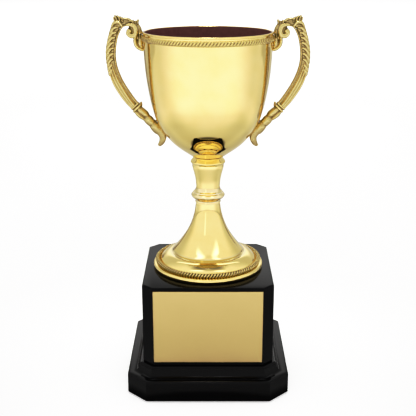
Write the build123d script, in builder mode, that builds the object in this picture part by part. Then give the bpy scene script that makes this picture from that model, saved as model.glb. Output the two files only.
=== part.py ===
"""Gold cup trophy on a black two-tier plinth, in millimetres.

+Z is up, +X runs from handle to handle and -Y is the front, where the name plate is.
The origin is the centre of the felt pad's underside, which is what the trophy stands on.

The stack, from the top: a spun cup with a rolled lip, a rope border and two cast handles
screwed on from inside; a collar, a tapered sleeve and a knop; a spun trumpet foot with its
own rope ring; a hollow moulded block; and a stepped base. One threaded rod with a nut at
each end clamps all of it together. A cast iron disc inside the block is the ballast.
"""

import os
from math import sqrt

from build123d import *

# ---- Driving dimensions --------------------------------------------------------------
FELT_THICK = 1.5
BOARD_THICK = 2.0
BASE_BOTTOM = 0.8  # the felt pad stands this far out of the base
BASE_HALF = 46.6  # half the width of the base, flat to flat
BASE_EDGE_TOP = 12.0  # top of the base's upright edge
BASE_WALL = 3.0
LEDGE_WIDTH = 1.4  # what the closing board rests on
HOLLOW_STEP = 10.0  # above this the base is hollow only inside the block's outline
DECK_TOP = 17.1  # the block stands here, in a shallow recess
DECK_THICK = 2.5
RECESS_RIM = 18.6

BLOCK_HALF = 37.5
BLOCK_CORNER = 6.0  # how much each corner of the block is cut back
BLOCK_TOP = 66.55
BLOCK_WALL = 3.0
BLOCK_ROOF = 3.5
BLOCK_ROUND = 1.0

ROD_RADIUS = 3.0
ROD_HOLE = 3.25
ROD_BOTTOM = 4.6
ROD_TOP = 143.0
NUT_FLATS = 10.0
NUT_HEIGHT = 5.0
WASHER_THICK = 1.6

BALLAST_RADIUS = 32.0
BALLAST_THICK = 12.0
BOSS_RADIUS = 6.5
POST_RADIUS = 3.6
POST_PLACE = 28.0  # the screw posts stand at plus and minus this in X and Y
POST_DRILL = 15.0
SCREW_RADIUS = 1.5
SCREW_HEAD = 1.9

PLATE_WIDTH, PLATE_HEIGHT, PLATE_THICK = 62.0, 43.6, 0.8
PLATE_CENTRE = 43.0
TAPE_THICK, TAPE_MARGIN = 0.25, 2.0

SHEET = 0.8  # wall of the spun cup and foot
LINING = 0.4
CUP_BOTTOM = 133.4
CUP_FLAT = 7.0  # radius of the flat that the collar clamps
CUP_RADIUS = 36.0  # outside of the upright wall under the lip
WALL_TOP = 203.2
STRAIGHT_FROM = 198.0  # above this height the wall is a plain cylinder
LIP_RADIUS = 1.2
LIP_CENTRE = (35.3, 203.7)
LINING_TOP = 202.4
ROPE_LOW, ROPE_HIGH, ROPE_OUT = 199.3, 202.6, 1.15

SLEEVE_BOTTOM = 115.4
COLLAR_BOTTOM = 129.4
KNOP_BOTTOM = 106.6

FOOT_RADIUS = 32.6
FOOT_SKIRT = 20.4  # radius of the step where the trumpet ends
FOOT_SEAT = (28.5, 69.8)  # the corner that the foot's rope ring lies in
FOOT_ROPE_RADIUS = 1.45

UPPER_SCREW_HEIGHT = 197.0
LOWER_SCREW_ALONG = 0.65  # share of the cup's curve, from the straight wall down
HANDLE_SCREW_REACH = 3.4  # how deep a screw goes into the handle
WASHER_STANDS = 0.9  # how far a handle washer stands out of the lining
HANDLE_DEPTH = 6.6  # the handles' thickness, front to back
HANDLE_GAP = 0.03  # between a handle and the cup, where the plating is

# The cup's outside below its straight wall, as (radius, height).
CUP_CURVE = [
    (CUP_RADIUS, STRAIGHT_FROM),
    (35.9, 192.5),
    (35.15, 182.5),
    (33.1, 169.0),
    (29.5, 155.4),
    (21.2, 143.0),
    (12.2, 135.9),
    (CUP_FLAT, CUP_BOTTOM),
]
# The trumpet of the foot, from its neck down to its skirt.
TRUMPET_CURVE = [
    (7.25, 105.2),
    (7.76, 101.5),
    (8.6, 97.75),
    (9.8, 94.0),
    (11.4, 90.3),
    (13.6, 86.5),
    (16.2, 82.7),
    (FOOT_SKIRT, 77.7),
]


cup_curve = Spline(*CUP_CURVE, tangents=[(0, -1), (-1, 0)])


def beside(curve, distance, count=14):
    """Points at one distance to the right of a curve, as seen walking along it."""
    points = []
    for step in range(count + 1):
        along = curve % (step / count)
        points.append(curve @ (step / count) + Vector(along.Y, -along.X) * distance)
    return points


def cup_line(inward=0.0):
    """The cup's side, from the straight wall to the flat, this far in from the outside."""
    return Spline(*beside(cup_curve, inward), tangents=[(0, -1), (-1, 0)])


def octagon(half):
    """A corner-cut square of this half-width, in a sketch, parallel to the block's outline."""
    Rectangle(2 * half, 2 * half)
    chamfer(vertices(), BLOCK_CORNER + (half - BLOCK_HALF) * (2 - sqrt(2)))


def nut(bottom):
    """A hexagon nut on the rod."""
    with BuildPart() as made:
        with BuildSketch(Plane.XY.offset(bottom)):
            RegularPolygon(NUT_FLATS / 2, 6, major_radius=False)
            Circle(ROD_RADIUS + 0.02, mode=Mode.SUBTRACT)
        extrude(amount=NUT_HEIGHT)
        outer = made.edges().filter_by(GeomType.LINE).filter_by(Plane.XY)
        chamfer(outer, 0.5)
    return made.part


def washer(bottom, radius, thick, hole=ROD_HOLE):
    """A flat round washer on the rod."""
    with BuildPart() as made:
        with BuildSketch(Plane.XY.offset(bottom)):
            Circle(radius)
            Circle(hole, mode=Mode.SUBTRACT)
        extrude(amount=thick)
        chamfer(made.faces().sort_by(Axis.Z)[-1].edges(), 0.2)
    return made.part


# ---- Base: a stepped, corner-cut moulding --------------------------------------------
def moulding_run(section, turn):
    """A long bar with one section, lying across the trophy, turned by eighths of a turn.

    The section is drawn as (distance from the axis, height), out to one side, and
    mirrored. On the diagonals it lies further out by what the cut corners leave.
    """
    diagonal = (2 * BLOCK_HALF - BLOCK_CORNER) / sqrt(2) - BLOCK_HALF
    with BuildPart() as run:
        with BuildSketch(Plane.XZ.rotated((0, 0, 45 * turn))):
            with BuildLine():
                section(diagonal if turn % 2 else 0.0)
            make_face()
            mirror(about=Plane.YZ)
        extrude(amount=BASE_HALF + 20, both=True)
    return run.part


def draw_base_section(out):
    """Upright edge, soft shoulder, cove, and the rim round the block."""
    edge = Line((BASE_HALF + out, BASE_BOTTOM), (BASE_HALF + out, BASE_EDGE_TOP - 0.6))
    shoulder = Spline(
        edge @ 1,
        (45.7 + out, BASE_EDGE_TOP + 0.75),
        (43.2 + out, BASE_EDGE_TOP + 1.35),
        tangents=[(0, 1), (-1, 0.1)],
    )
    cove = Spline(
        shoulder @ 1,
        (41.4 + out, BASE_EDGE_TOP + 2.0),
        (39.4 + out, RECESS_RIM - 1.2),
        tangents=[(-1, 0.25), (-0.15, 1)],
    )
    Polyline(
        cove @ 1,
        (39.4 + out, RECESS_RIM - 0.8),
        (38.6 + out, RECESS_RIM),
        (0, RECESS_RIM),
        (0, BASE_BOTTOM),
        edge @ 0,
    )


def draw_block_section(out):
    """A plain upright wall under a softly rounded top edge."""
    half = BLOCK_HALF + out
    wall = Line((half, DECK_TOP), (half, BLOCK_TOP - BLOCK_ROUND))
    top_edge = RadiusArc(wall @ 1, (half - BLOCK_ROUND, BLOCK_TOP), -BLOCK_ROUND)
    Polyline(top_edge @ 1, (0, BLOCK_TOP), (0, DECK_TOP), wall @ 0)


base_runs = [moulding_run(draw_base_section, turn) for turn in range(4)]
block_runs = [moulding_run(draw_block_section, turn) for turn in range(4)]
under_half = BASE_HALF - BASE_WALL
deck_under = DECK_TOP - DECK_THICK

with BuildPart() as base_moulding:
    add(base_runs[0])
    for run in base_runs[1:]:
        add(run, mode=Mode.INTERSECT)
    with BuildSketch(Plane.XY.offset(DECK_TOP)):
        octagon(BLOCK_HALF + 0.1)
    extrude(amount=RECESS_RIM - DECK_TOP, mode=Mode.SUBTRACT)
    with BuildSketch(Plane.XY.offset(BASE_BOTTOM)):
        octagon(under_half)
    extrude(amount=FELT_THICK + BOARD_THICK - BASE_BOTTOM, mode=Mode.SUBTRACT)
    with BuildSketch(Plane.XY.offset(BASE_BOTTOM)):
        octagon(under_half - LEDGE_WIDTH)
    extrude(amount=HOLLOW_STEP - BASE_BOTTOM, mode=Mode.SUBTRACT)
    with BuildSketch(Plane.XY.offset(HOLLOW_STEP)):
        octagon(BLOCK_HALF - 1.5)
    extrude(amount=deck_under - HOLLOW_STEP, mode=Mode.SUBTRACT)
    with BuildSketch(Plane.XY.offset(deck_under)):
        Circle(ROD_HOLE)
        with GridLocations(2 * POST_PLACE, 2 * POST_PLACE, 2, 2):
            Circle(SCREW_RADIUS + 0.2)
    extrude(amount=DECK_THICK, mode=Mode.SUBTRACT)

with BuildPart() as base_board:
    with BuildSketch(Plane.XY.offset(FELT_THICK)):
        octagon(under_half - 0.1)
    extrude(amount=BOARD_THICK)

with BuildPart() as felt_pad:
    with BuildSketch(Plane.XY):
        octagon(under_half - 0.4)
    extrude(amount=FELT_THICK)

# ---- Block: a hollow moulding with a rod boss and four screw posts -------------------
with BuildPart() as plinth_block:
    add(block_runs[0])
    for run in block_runs[1:]:
        add(run, mode=Mode.INTERSECT)
    with BuildSketch(Plane.XY.offset(DECK_TOP)):
        octagon(BLOCK_HALF - BLOCK_WALL)
    extrude(amount=BLOCK_TOP - BLOCK_ROOF - DECK_TOP, mode=Mode.SUBTRACT)
    with BuildSketch(Plane.XY.offset(DECK_TOP)):
        Circle(BOSS_RADIUS)
        with GridLocations(2 * POST_PLACE, 2 * POST_PLACE, 2, 2):
            Circle(POST_RADIUS)
    extrude(amount=BLOCK_TOP - BLOCK_ROOF - DECK_TOP)
    with BuildSketch(Plane.XY.offset(DECK_TOP)):
        Circle(ROD_HOLE)
    extrude(amount=BLOCK_TOP - DECK_TOP, mode=Mode.SUBTRACT)
    with BuildSketch(Plane.XY.offset(DECK_TOP)):
        with GridLocations(2 * POST_PLACE, 2 * POST_PLACE, 2, 2):
            Circle(SCREW_RADIUS + 0.02)
    extrude(amount=POST_DRILL, mode=Mode.SUBTRACT)

with BuildPart() as ballast_disc:
    with BuildSketch(Plane.XY.offset(DECK_TOP)):
        Circle(BALLAST_RADIUS)
        Circle(BOSS_RADIUS + 0.5, mode=Mode.SUBTRACT)
    extrude(amount=BALLAST_THICK)
    chamfer(ballast_disc.edges().filter_by(GeomType.CIRCLE), 1.0)

with BuildPart() as base_screws:
    with BuildSketch(Plane.XY.offset(deck_under)):
        with GridLocations(2 * POST_PLACE, 2 * POST_PLACE, 2, 2):
            Circle(2 * SCREW_RADIUS)
    extrude(amount=-SCREW_HEAD)
    fillet(base_screws.faces().group_by(Axis.Z)[0].edges(), 0.8)
    with BuildSketch(Plane.XY.offset(deck_under)):
        with GridLocations(2 * POST_PLACE, 2 * POST_PLACE, 2, 2):
            Circle(SCREW_RADIUS)
    extrude(amount=DECK_THICK + POST_DRILL - 2.0)

# ---- Name plate on its tape ----------------------------------------------------------
front = Plane(origin=(0, -BLOCK_HALF, PLATE_CENTRE), x_dir=(1, 0, 0), z_dir=(0, -1, 0))

with BuildPart() as plate_tape:
    with BuildSketch(front):
        Rectangle(PLATE_WIDTH - 2 * TAPE_MARGIN, PLATE_HEIGHT - 2 * TAPE_MARGIN)
    extrude(amount=TAPE_THICK)

with BuildPart() as name_plate:
    with BuildSketch(front.offset(TAPE_THICK)):
        Rectangle(PLATE_WIDTH, PLATE_HEIGHT)
    extrude(amount=PLATE_THICK)
    chamfer(name_plate.faces().sort_by(Axis.Y)[0].edges(), 0.3)

# ---- The rod and what is on it -------------------------------------------------------
with BuildPart() as tie_rod:
    with BuildSketch(Plane.XY.offset(ROD_BOTTOM)):
        Circle(ROD_RADIUS)
    extrude(amount=ROD_TOP - ROD_BOTTOM)
    chamfer(tie_rod.edges().filter_by(GeomType.CIRCLE), 0.6)

clamp_bottom = DECK_TOP - DECK_THICK - 1.5
clamp_washer = washer(clamp_bottom, 15.0, 1.5)
lock_bottom = clamp_bottom - WASHER_THICK
with BuildPart() as lock_washer:
    with BuildSketch(Plane.XY.offset(lock_bottom)):
        Circle(5.9)
        Circle(ROD_HOLE, mode=Mode.SUBTRACT)
        with Locations((4.6, 0)):
            Rectangle(4.0, 0.9, rotation=20, mode=Mode.SUBTRACT)
    extrude(amount=WASHER_THICK)
rod_nut = nut(lock_bottom - NUT_HEIGHT)
cup_washer = washer(CUP_BOTTOM + SHEET, 6.0, WASHER_THICK)
cup_nut = nut(CUP_BOTTOM + SHEET + WASHER_THICK)

# ---- Foot ----------------------------------------------------------------------------
with BuildPart() as foot:
    with BuildSketch(Plane.XZ):
        with BuildLine():
            neck = Line((7.25, KNOP_BOTTOM), TRUMPET_CURVE[0])
            flare = Spline(*TRUMPET_CURVE, tangents=[(0, -1), (0.8, -0.6)])
            skirt = Spline(flare @ 1, (20.9, 76.9), (20.6, 76.2), tangents=[(0.8, -0.6), (-1, -0.3)])
            cove = Spline(
                skirt @ 1,
                (22.3, 75.75),
                (25.3, 75.7),
                (27.7, 74.7),
                (FOOT_SEAT[0], 73.2),
                tangents=[(0.9, -0.5), (0.1, -1)],
            )
            seat_side = Line(cove @ 1, FOOT_SEAT)
            seat_floor = Line(seat_side @ 1, (30.9, FOOT_SEAT[1]))
            bead = Spline(
                seat_floor @ 1,
                (32.3, 69.1),
                (FOOT_RADIUS, 68.0),
                (32.0, BLOCK_TOP),
                tangents=[(1, 0), (-0.6, -0.8)],
            )
            rest = Line(bead @ 1, (30.9, BLOCK_TOP))
            riser = Line(rest @ 1, (27.6, 70.6))
            roof = Spline(riser @ 1, (26.2, 74.0), (21.6, 74.9), tangents=[(0, 1), (-1, 0)])
            inside = beside(flare, SHEET)
            turn_up = Line(roof @ 1, inside[-1])
            throat = Spline(*reversed(inside))
            ceiling = Line(throat @ 1, (ROD_HOLE, TRUMPET_CURVE[0][1]))
            hole = Line(ceiling @ 1, (ROD_HOLE, KNOP_BOTTOM))
            Line(hole @ 1, neck @ 0)
        make_face()
    revolve(axis=Axis.Z)

with BuildPart() as foot_rope:
    with BuildSketch(Plane.XZ):
        with Locations((FOOT_SEAT[0] + FOOT_ROPE_RADIUS, FOOT_SEAT[1] + FOOT_ROPE_RADIUS)):
            Circle(FOOT_ROPE_RADIUS)
    revolve(axis=Axis.Z)

# ---- Stem ----------------------------------------------------------------------------
with BuildPart() as stem_knop:
    with BuildSketch(Plane.XZ):
        with BuildLine():
            top = Line((ROD_HOLE, SLEEVE_BOTTOM), (7.05, SLEEVE_BOTTOM))
            cone = Spline(top @ 1, (7.5, 113.9), (8.5, 112.8), tangents=[(0.1, -1), (1, -0.5)])
            step = Line(cone @ 1, (8.5, 112.3))
            bead = ThreePointArc(step @ 1, (9.95, 110.5), (8.5, 108.7))
            shelf = Line(bead @ 1, (7.9, 108.5))
            cove = Spline(shelf @ 1, (7.35, 107.6), (7.6, KNOP_BOTTOM), tangents=[(-1, -0.6), (0.6, -1)])
            under = Line(cove @ 1, (ROD_HOLE, KNOP_BOTTOM))
            Line(under @ 1, top @ 0)
        make_face()
    revolve(axis=Axis.Z)

with BuildPart() as stem_sleeve:
    with BuildSketch(Plane.XZ):
        with BuildLine():
            top = Line((ROD_HOLE, COLLAR_BOTTOM), (9.3, COLLAR_BOTTOM))
            side = Spline(
                top @ 1,
                (9.1, 127.2),
                (8.1, 123.4),
                (7.35, 119.8),
                (6.95, SLEEVE_BOTTOM),
            )
            under = Line(side @ 1, (ROD_HOLE, SLEEVE_BOTTOM))
            Line(under @ 1, top @ 0)
        make_face()
    revolve(axis=Axis.Z)

with BuildPart() as stem_collar:
    with BuildSketch(Plane.XZ):
        with BuildLine():
            Polyline(
                (ROD_HOLE, COLLAR_BOTTOM),
                (ROD_HOLE, CUP_BOTTOM),
                (8.2, CUP_BOTTOM),
                (10.1, 131.0),
                (10.1, 130.4),
                (9.4, COLLAR_BOTTOM),
                close=True,
            )
        make_face()
    revolve(axis=Axis.Z)
    widest = stem_collar.edges().filter_by(GeomType.CIRCLE).sort_by(SortBy.RADIUS)[-2:]
    fillet(widest, 0.25)


# ---- Cup -----------------------------------------------------------------------------
def cup_sheet(near, far, top):
    """A turned shell between two distances inside the cup's outer line."""
    with BuildPart() as made:
        with BuildSketch(Plane.XZ):
            with BuildLine():
                outside = cup_line(near)
                inside = cup_line(far)
                (a, b), (c, d) = ((line @ 0, line @ 1) for line in (outside, inside))
                Polyline(a, (a.X, top), (c.X, top), c)
                Polyline(b, (ROD_HOLE, b.Y), (ROD_HOLE, d.Y), d)
            make_face()
        revolve(axis=Axis.Z)
    return made.part


def screw_seats():
    """Planes on the cup's outside, facing out, where the right-hand handle is screwed on."""
    here, along = cup_curve @ LOWER_SCREW_ALONG, cup_curve % LOWER_SCREW_ALONG
    upper = Plane(origin=(CUP_RADIUS - 0.05, 0, UPPER_SCREW_HEIGHT), x_dir=(0, 1, 0), z_dir=(1, 0, 0))
    out = (-along.Y, 0, along.X)
    lower = Plane(origin=(here.X, 0, here.Y), x_dir=(0, 1, 0), z_dir=out)
    return [upper, lower]


def on_both_sides(part):
    """A part and its mirror image across the trophy's middle."""
    return [part, part.mirror(Plane.YZ)]


with BuildPart() as screw_clearance:
    for seat in screw_seats():
        with BuildSketch(seat):
            Circle(SCREW_RADIUS + 0.1)
        extrude(amount=3, both=True)
clearance_holes = on_both_sides(screw_clearance.part)
cup_wall = cup_sheet(0, SHEET, WALL_TOP)
lining_wall = cup_sheet(SHEET, SHEET + LINING, LINING_TOP)

with BuildPart() as cup:
    add(cup_wall)
    with BuildSketch(Plane.XZ):
        with Locations(LIP_CENTRE):
            Circle(LIP_RADIUS)
    revolve(axis=Axis.Z)
    add(clearance_holes, mode=Mode.SUBTRACT)

with BuildPart() as cup_lining:
    add(lining_wall)
    with BuildSketch(Plane.XY.offset(CUP_BOTTOM)):
        Circle(CUP_FLAT - 0.2)
    extrude(amount=5, mode=Mode.SUBTRACT)
    add(clearance_holes, mode=Mode.SUBTRACT)

rope_middle = (ROPE_LOW + ROPE_HIGH) / 2

with BuildPart() as rim_rope:
    with BuildSketch(Plane.XZ):
        with BuildLine():
            back = Line((CUP_RADIUS, ROPE_LOW), (CUP_RADIUS, ROPE_HIGH))
            ThreePointArc(back @ 1, (CUP_RADIUS + ROPE_OUT, rope_middle), back @ 0)
        make_face()
    revolve(axis=Axis.Z)

# ---- Handles: drawn for the right side, in the side view as (x, z) -------------------
ARM_LINE = [
    (40.9, 207.0),
    (44.8, 208.8),
    (48.6, 208.3),
    (51.6, 204.6),
    (53.9, 196.5),
    (54.4, 190.8),
    (53.7, 184.2),
    (51.4, 177.5),
    (48.4, 172.0),
    (44.6, 166.0),
    (41.2, 161.4),
]
BUD_LINE = [(41.0, 161.2), (37.7, 158.6), (35.3, 156.1), (31.0, 151.4)]
SCROLL_LINE = [(40.7, 201.6), (40.2, 198.0), (38.7, 196.1), (35.4, 195.0)]
TAIL_LINE = [(28.6, 149.0), (26.4, 145.6), (26.4, 142.9), (28.0, 140.6)]
# Width of each bar in the side view, by the share of its line.
ARM_WIDTHS = {0.0: 3.6, 0.1: 4.4, 0.24: 4.8, 0.45: 5.3, 0.62: 5.7, 0.8: 5.5, 1.0: 4.2}
BUD_WIDTHS = {0.0: 4.2, 0.28: 5.4, 0.55: 3.8, 0.78: 4.8, 1.0: 4.8}
SCROLL_WIDTHS = {0.0: 2.4, 0.5: 2.2, 1.0: 2.4}
TAIL_WIDTHS = {0.0: 5.2, 0.4: 4.6, 0.75: 2.6, 1.0: 1.4}
VOLUTE_CENTRE = (41.7, 204.6)
VOLUTE_RADIUS, EYE_RADIUS, EYE_DEPTH = 3.4, 1.0, 0.9
HORN_OUTLINE = [(46.8, 209.4), (47.6, 211.5), (49.6, 213.1), (51.9, 213.6), (51.0, 208.8)]
EAR_OUTLINE = [(38.5, 210.7), (39.3, 208.0), (41.9, 207.6), (41.5, 210.4)]
SHELL_OUTLINE = [
    (33.0, 194.6),
    (37.9, 195.2),
    (39.9, 197.4),
    (40.6, 203.0),
    (38.4, 206.2),
    (33.0, 203.6),
]
LEAF_OUTLINE = [(26.0, 154.9), (30.2, 154.9), (33.0, 150.2), (27.6, 144.6), (20.5, 143.4)]


def in_side_view(point):
    """A point given as (x, z) on the handles' middle plane."""
    return (point[0], 0, point[1])


def swelling_bar(points, widths):
    """An oval bar along a smooth line, as wide in the side view as `widths` says."""
    with BuildPart() as made:
        with BuildLine():
            path = Spline(*[in_side_view(p) for p in points])
        for share, width in widths.items():
            spot = Plane(path @ share, x_dir=(0, 1, 0), z_dir=path % share)
            with BuildSketch(spot):
                Ellipse(min(HANDLE_DEPTH, 1.25 * width) / 2, width / 2)
        sweep(path=path, multisection=True)
    return made.part


def rounded_web(points, depth, radius=0.45):
    """A plate with straight sides in the side view and softened edges."""
    with BuildPart() as made:
        with BuildSketch(Plane.XZ):
            with BuildLine():
                Polyline(*points, close=True)
            make_face()
        extrude(amount=depth / 2, both=True)
        fillet(made.edges(), radius)
    return made.part


def tapered_pin(start, end, start_radius, end_radius):
    """A tapered round pin between two points of the side view."""
    a, b = Vector(*in_side_view(start)), Vector(*in_side_view(end))
    with BuildPart() as made:
        with BuildSketch(Plane(a, z_dir=b - a)):
            Circle(start_radius)
        with BuildSketch(Plane(b, z_dir=b - a)):
            Circle(end_radius)
        loft()
    return made.part


def cup_and_trim():
    """The cup as a solid block with its lip and rope: what the handles are cut back to."""
    with BuildPart() as made:
        with BuildSketch(Plane.XZ):
            with BuildLine():
                side = cup_line(-HANDLE_GAP)
                top, (start, end) = WALL_TOP + 20, (side @ 0, side @ 1)
                Polyline(start, (start.X, top), (0, top), (0, end.Y), end)
            make_face()
        revolve(axis=Axis.Z)
        with BuildSketch(Plane.XZ):
            with Locations(LIP_CENTRE):
                Circle(LIP_RADIUS + 0.05)
            with Locations((CUP_RADIUS, rope_middle)):
                Rectangle(2 * ROPE_OUT + 0.1, ROPE_HIGH - ROPE_LOW + 0.1)
        revolve(axis=Axis.Z)
    return made.part


handle_pieces = [
    swelling_bar(ARM_LINE, ARM_WIDTHS),
    swelling_bar(BUD_LINE, BUD_WIDTHS),
    swelling_bar(SCROLL_LINE, SCROLL_WIDTHS),
    swelling_bar(TAIL_LINE, TAIL_WIDTHS),
    rounded_web(HORN_OUTLINE, 5.0),
    rounded_web(EAR_OUTLINE, 4.0),
    rounded_web(SHELL_OUTLINE, 3.6),
    rounded_web(LEAF_OUTLINE, 5.0),
    tapered_pin((41.9, 162.6), (40.5, 160.9), 2.8, 2.8),  # collar
    tapered_pin((40.4, 162.0), (38.4, 164.7), 1.4, 0.5),  # thorn
]
handle_limit = cup_and_trim()

with BuildPart() as handle_right:
    add(handle_pieces)
    with BuildSketch(Plane.XZ):
        with Locations(VOLUTE_CENTRE):
            Circle(VOLUTE_RADIUS)
    extrude(amount=HANDLE_DEPTH / 2, both=True)
    for side in (-1, 1):
        with BuildSketch(Plane.XZ.offset(side * (HANDLE_DEPTH / 2 - EYE_DEPTH))):
            with Locations(VOLUTE_CENTRE):
                Circle(EYE_RADIUS)
        extrude(amount=side * HANDLE_DEPTH, mode=Mode.SUBTRACT)
    add(handle_limit, mode=Mode.SUBTRACT)
    for seat in screw_seats():
        with BuildSketch(seat.offset(-1)):
            Circle(SCREW_RADIUS + 0.02)
        extrude(amount=1 + HANDLE_SCREW_REACH, mode=Mode.SUBTRACT)

handle_left = handle_right.part.mirror(Plane.YZ)

# Screws from inside the cup, each on a washer shaped to the wall it lies against.
washer_face = SHEET + LINING + WASHER_STANDS
with BuildPart() as right_washers:
    for seat in screw_seats():
        with BuildSketch(seat.offset(-washer_face)):
            Circle(3.3)
            Circle(SCREW_RADIUS + 0.1, mode=Mode.SUBTRACT)
        extrude(amount=WASHER_STANDS + 0.7)
    with BuildSketch(Plane.XZ):
        with BuildLine():
            side = cup_line(SHEET + LINING)
            start, end = side @ 0, side @ 1
            Polyline(start, (start.X, WALL_TOP), (60, WALL_TOP), (60, end.Y), end)
        make_face()
    revolve(axis=Axis.Z, mode=Mode.SUBTRACT)

with BuildPart() as right_screws:
    for seat in screw_seats():
        with BuildSketch(seat.offset(-washer_face)):
            Circle(2.75)
        extrude(amount=-SCREW_HEAD)
    heads = right_screws.faces().filter_by(GeomType.PLANE).sort_by(Axis.X)
    fillet([face.edges()[0] for face in (heads[0], heads[-2])], 0.7)
    for seat in screw_seats():
        with BuildSketch(seat.offset(-washer_face)):
            Circle(SCREW_RADIUS)
        extrude(amount=washer_face + HANDLE_SCREW_REACH - 0.2)

handle_washers = Compound(on_both_sides(right_washers.part))
handle_screws = Compound(on_both_sides(right_screws.part))

# ---- Write one STEP file for each piece ----------------------------------------------
PIECES = {
    "cup": cup.part,
    "cup_lining": cup_lining.part,
    "rim_rope": rim_rope.part,
    "handle_left": handle_left,
    "handle_right": handle_right.part,
    "handle_screws": handle_screws,
    "handle_washers": handle_washers,
    "cup_washer": cup_washer,
    "cup_nut": cup_nut,
    "tie_rod": tie_rod.part,
    "stem_collar": stem_collar.part,
    "stem_sleeve": stem_sleeve.part,
    "stem_knop": stem_knop.part,
    "foot": foot.part,
    "foot_rope": foot_rope.part,
    "plinth_block": plinth_block.part,
    "name_plate": name_plate.part,
    "plate_tape": plate_tape.part,
    "ballast_disc": ballast_disc.part,
    "base_moulding": base_moulding.part,
    "base_screws": base_screws.part,
    "clamp_washer": clamp_washer,
    "lock_washer": lock_washer.part,
    "rod_nut": rod_nut,
    "base_board": base_board.part,
    "felt_pad": felt_pad.part,
}

os.makedirs("parts", exist_ok=True)
for name, piece in PIECES.items():
    piece.label = name
    export_step(piece, f"parts/{name}.step")
    print(f"{name:15s} {piece.volume:10.1f} mm3  {len(piece.solids())} solid(s)")
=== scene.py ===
# %% [markdown]
# # A gold cup trophy, dressed for its portrait
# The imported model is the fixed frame: every piece keeps the place and the size that it has
# there. This lesson makes what a viewer sees: mirror-bright turned metal, two rope borders,
# two cast handles, a glossy black plinth and a satin name plate.

# %% Frame
from math import atan2, cos, pi, radians, sin, sqrt

import bmesh
import bpy
from mathutils import Matrix, Vector


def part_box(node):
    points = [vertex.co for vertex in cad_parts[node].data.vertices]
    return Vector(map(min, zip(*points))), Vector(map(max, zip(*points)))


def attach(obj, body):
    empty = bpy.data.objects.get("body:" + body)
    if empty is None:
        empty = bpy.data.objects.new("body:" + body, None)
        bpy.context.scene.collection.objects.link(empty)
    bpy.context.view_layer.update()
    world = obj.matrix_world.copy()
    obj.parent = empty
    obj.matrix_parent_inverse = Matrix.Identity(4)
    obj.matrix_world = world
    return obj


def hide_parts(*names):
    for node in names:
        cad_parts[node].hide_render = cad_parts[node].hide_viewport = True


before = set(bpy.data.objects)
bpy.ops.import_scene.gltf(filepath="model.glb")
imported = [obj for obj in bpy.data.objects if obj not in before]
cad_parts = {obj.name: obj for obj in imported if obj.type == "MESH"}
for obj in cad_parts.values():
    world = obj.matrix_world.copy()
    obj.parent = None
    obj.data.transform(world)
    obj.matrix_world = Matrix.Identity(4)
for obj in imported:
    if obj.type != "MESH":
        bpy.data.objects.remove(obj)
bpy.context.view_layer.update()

# %% [markdown]
# Sizes below are written in millimetres, as on a workshop drawing, and become metres here.

# %% Units and small helpers
MM = 0.001


def mm(*values):
    """A point given in millimetres."""
    return Vector(values) * MM


def node_heights(name):
    """Lowest and highest z of a CAD node, in millimetres."""
    low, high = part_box(name)
    return low.z / MM, high.z / MM


# %% [markdown]
# ## Shader sums
# A finish is easier to read as a formula than as a picture of wires. The class below wraps
# one socket: adding or multiplying wrapped sockets adds Math nodes, and `node` adds any
# other kind of node.

# %% A socket that can be used in sums
class Signal:
    """One output socket of a material; sums and products add Math nodes."""

    def __init__(self, tree, socket=None):
        self.tree, self.socket = tree, socket

    def node(self, kind, settings=(), out=0, **sockets):
        """Adds a node: its settings first, then the values or links of its sockets."""
        made = self.tree.nodes.new("ShaderNode" + kind)
        for name, value in dict(settings).items():
            if name == "stops":
                ramp = made.color_ramp.elements
                for stop, (place, colour) in enumerate(value):
                    item = ramp[stop] if stop < 2 else ramp.new(place)
                    item.position, item.color = place, (*colour, 1)
            else:
                setattr(made, name, value)
        for name, value in sockets.items():
            key = int(name[1:]) if name[0] == "_" else name.replace("_", " ")
            if isinstance(value, Signal):
                self.tree.links.new(value.socket, made.inputs[key])
            else:
                made.inputs[key].default_value = value
        return Signal(self.tree, made.outputs[out])

    def _math(self, operation, first, second):
        return self.node("Math", {"operation": operation}, _0=first, _1=second)

    def __add__(self, other):
        return self._math("ADD", self, other)

    def __sub__(self, other):
        return self._math("SUBTRACT", self, other)

    def __rsub__(self, other):
        return self._math("SUBTRACT", other, self)

    def __mul__(self, other):
        return self._math("MULTIPLY", self, other)

    __radd__, __rmul__ = __add__, __mul__

    def mix(self, low, high):
        """The colour `low` where this is 0 and `high` where it is 1."""
        return self.node("Mix", {"data_type": "RGBA"}, 2, _0=self, _6=low, _7=high)


def new_finish(name):
    """A material with a bare Principled shader; returns it with its shader and a Signal."""
    material = bpy.data.materials.new(name)
    material.use_nodes = True
    tree = material.node_tree
    return material, tree.nodes["Principled BSDF"], Signal(tree)


def connect(shader, **sockets):
    """Sets or links sockets of a shader."""
    for name, value in sockets.items():
        socket = shader.inputs[name.replace("_", " ")]
        if isinstance(value, Signal):
            value.tree.links.new(value.socket, socket)
        else:
            socket.default_value = value


def here(signal, scale=(1, 1, 1)):
    """Object coordinates, stretched by `scale`."""
    spot = signal.node("TexCoord", out=3)
    return signal.node("Mapping", Vector=spot, Scale=scale)


def rgb(red, green, blue):
    return (red, green, blue, 1.0)


SMOOTH = {"interpolation_type": "SMOOTHSTEP"}
print("helpers ready")
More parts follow.
